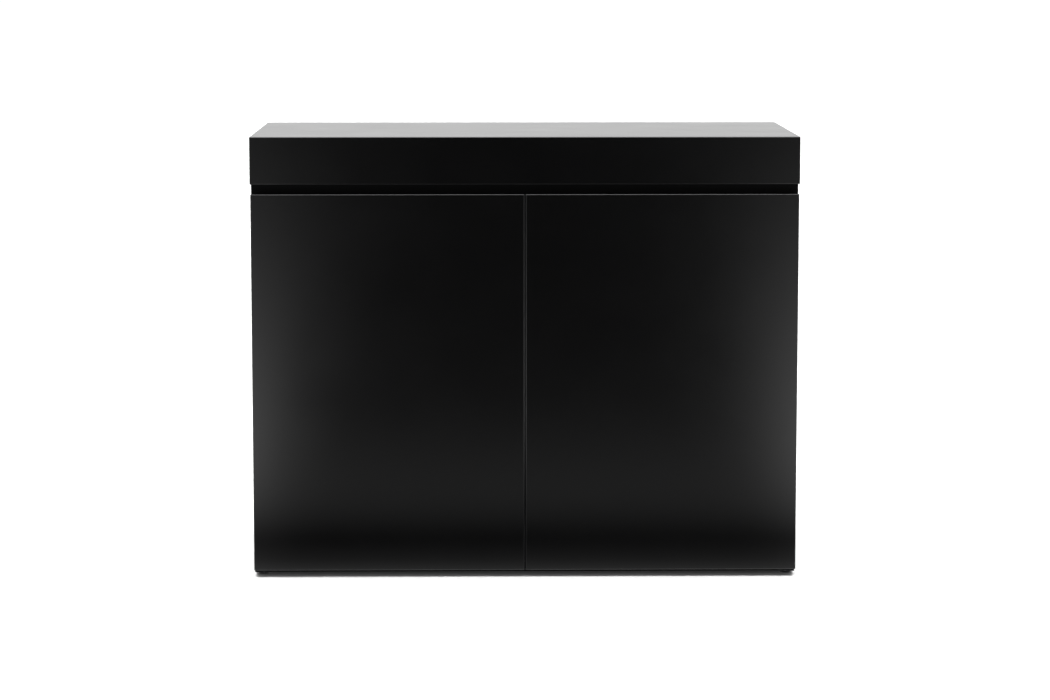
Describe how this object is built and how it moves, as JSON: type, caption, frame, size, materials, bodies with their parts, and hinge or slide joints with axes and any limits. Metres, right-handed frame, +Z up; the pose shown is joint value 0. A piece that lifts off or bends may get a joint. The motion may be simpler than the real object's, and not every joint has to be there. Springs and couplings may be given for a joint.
{
  "type": "aquarium stand cabinet",
  "caption": "Free-standing aquarium cabinet in satin black: thick top slab over a finger-pull gap, handle-less double doors on concealed hinges, levelling feet.",
  "frame": {"origin": "on the floor under the middle of the cabinet", "axes": "+Z up, +X to the viewer's right of the doors, doors face -Y"},
  "size_m": [0.9, 0.45, 0.73],
  "materials": {
    "slab_lacquer": "satin",
    "door_lacquer": "satin",
    "carcass_lacquer": "matte",
    "raw_board": "matte",
    "beech": "matte",
    "clear_silicone": "satin",
    "black_nylon": "matte",
    "zinc_steel": "satin",
    "zinc_die_cast": "satin",
    "nickel_steel": "satin"
  },
  "bodies": {
    "cabinet": {"arm_clamp_screws": "zinc_steel", "arm_pins": "nickel_steel", "back_apron": "slab_lacquer", "bottom_panel": "carcass_lacquer", "cam_bolts": "zinc_steel", "cam_locks": "zinc_die_cast", "centre_divider": "carcass_lacquer", "deck_panel": "slab_lacquer", "deck_rib_centre": "raw_board", "deck_rib_left": "raw_board", "deck_rib_right": "raw_board", "foot_inserts": "zinc_steel", "front_apron": "slab_lacquer", "left_apron": "slab_lacquer", "left_back_panel": "carcass_lacquer", "left_hinge_plates": "nickel_steel", "left_lower_hinge_arm": "nickel_steel", "left_side_panel": "carcass_lacquer", "left_upper_hinge_arm": "nickel_steel", "plate_screws": "zinc_steel", "right_apron": "slab_lacquer", "right_back_panel": "carcass_lacquer", "right_hinge_plates": "nickel_steel", "right_lower_hinge_arm": "nickel_steel", "right_side_panel": "carcass_lacquer", "right_upper_hinge_arm": "nickel_steel", "side_adjust_screws": "zinc_steel", "slab_screws": "zinc_steel", "top_panel": "carcass_lacquer", "wood_dowels": "beech"},
    "left_door_leaf": {"left_door": "door_lacquer", "left_door_bumpers": "clear_silicone", "left_lower_hinge_cup": "nickel_steel", "left_upper_hinge_cup": "nickel_steel", "left_cup_pins": "nickel_steel", "left_cup_screws": "zinc_steel"},
    "left_outer_links": {"left_lower_outer_link": "nickel_steel", "left_upper_outer_link": "nickel_steel"},
    "left_inner_links": {"left_lower_inner_link": "nickel_steel", "left_upper_inner_link": "nickel_steel", "left_link_pins": "nickel_steel"},
    "right_door_leaf": {"right_door": "door_lacquer", "right_door_bumpers": "clear_silicone", "right_lower_hinge_cup": "nickel_steel", "right_upper_hinge_cup": "nickel_steel", "right_cup_pins": "nickel_steel", "right_cup_screws": "zinc_steel"},
    "right_outer_links": {"right_lower_outer_link": "nickel_steel", "right_upper_outer_link": "nickel_steel"},
    "right_inner_links": {"right_lower_inner_link": "nickel_steel", "right_upper_inner_link": "nickel_steel", "right_link_pins": "nickel_steel"},
    "pad_front_left": {"foot_pad_front_left": "black_nylon"},
    "stem_front_left": {"foot_stem_front_left": "zinc_steel"},
    "pad_front_right": {"foot_pad_front_right": "black_nylon"},
    "stem_front_right": {"foot_stem_front_right": "zinc_steel"},
    "pad_rear_left": {"foot_pad_rear_left": "black_nylon"},
    "stem_rear_left": {"foot_stem_rear_left": "zinc_steel"},
    "pad_rear_right": {"foot_pad_rear_right": "black_nylon"},
    "stem_rear_right": {"foot_stem_rear_right": "zinc_steel"}
  },
  "joints": [
    {"name": "left_door_swing", "type": "hinge", "parent": "left_outer_links", "child": "left_door_leaf", "pos_m": [-0.43614, -0.21083, 0.324], "axis": [0, 0, -1], "range_deg": [0, 122.83]},
    {"name": "left_outer_link_swing", "type": "hinge", "parent": "cabinet", "child": "left_outer_links", "pos_m": [-0.40515, -0.19684, 0.324], "axis": [0, 0, 1], "range_deg": [0, 27.84]},
    {"name": "left_inner_link_swing", "type": "hinge", "parent": "cabinet", "child": "left_inner_links", "pos_m": [-0.41572, -0.216, 0.324], "axis": [0, 0, 1], "range_deg": [0, 32.88]},
    {"name": "right_door_swing", "type": "hinge", "parent": "right_outer_links", "child": "right_door_leaf", "pos_m": [0.43614, -0.21083, 0.324], "axis": [0, 0, 1], "range_deg": [0, 122.83]},
    {"name": "right_outer_link_swing", "type": "hinge", "parent": "cabinet", "child": "right_outer_links", "pos_m": [0.40515, -0.19684, 0.324], "axis": [0, 0, -1], "range_deg": [0, 27.84]},
    {"name": "right_inner_link_swing", "type": "hinge", "parent": "cabinet", "child": "right_inner_links", "pos_m": [0.41572, -0.216, 0.324], "axis": [0, 0, -1], "range_deg": [0, 32.88]},
    {"name": "foot_front_left_height", "type": "slide", "parent": "cabinet", "child": "pad_front_left", "axis": [0, 0, -1], "range_m": [0, 0.008]},
    {"name": "foot_front_left_turn", "type": "hinge", "parent": "pad_front_left", "child": "stem_front_left", "pos_m": [-0.435, -0.189, 0.004], "axis": [0, 0, -1], "range_deg": [0, 2304.5]},
    {"name": "foot_front_right_height", "type": "slide", "parent": "cabinet", "child": "pad_front_right", "axis": [0, 0, -1], "range_m": [0, 0.008]},
    {"name": "foot_front_right_turn", "type": "hinge", "parent": "pad_front_right", "child": "stem_front_right", "pos_m": [0.435, -0.189, 0.004], "axis": [0, 0, -1], "range_deg": [0, 2304.5]},
    {"name": "foot_rear_left_height", "type": "slide", "parent": "cabinet", "child": "pad_rear_left", "axis": [0, 0, -1], "range_m": [0, 0.008]},
    {"name": "foot_rear_left_turn", "type": "hinge", "parent": "pad_rear_left", "child": "stem_rear_left", "pos_m": [-0.435, 0.189, 0.004], "axis": [0, 0, -1], "range_deg": [0, 2304.5]},
    {"name": "foot_rear_right_height", "type": "slide", "parent": "cabinet", "child": "pad_rear_right", "axis": [0, 0, -1], "range_m": [0, 0.008]},
    {"name": "foot_rear_right_turn", "type": "hinge", "parent": "pad_rear_right", "child": "stem_rear_right", "pos_m": [0.435, 0.189, 0.004], "axis": [0, 0, -1], "range_deg": [0, 2304.5]}
  ],
  "couplings": [
    {"joint": "left_outer_link_swing", "follows": "left_door_swing", "ratio": 0.2266},
    {"joint": "left_inner_link_swing", "follows": "left_door_swing", "ratio": 0.26759},
    {"joint": "right_outer_link_swing", "follows": "right_door_swing", "ratio": 0.2266},
    {"joint": "right_inner_link_swing", "follows": "right_door_swing", "ratio": 0.26759},
    {"joint": "foot_front_left_turn", "follows": "foot_front_left_height", "rad_per_m": 5026.5},
    {"joint": "foot_front_right_turn", "follows": "foot_front_right_height", "rad_per_m": 5026.5},
    {"joint": "foot_rear_left_turn", "follows": "foot_rear_left_height", "rad_per_m": 5026.5},
    {"joint": "foot_rear_right_turn", "follows": "foot_rear_right_height", "rad_per_m": 5026.5}
  ]
}
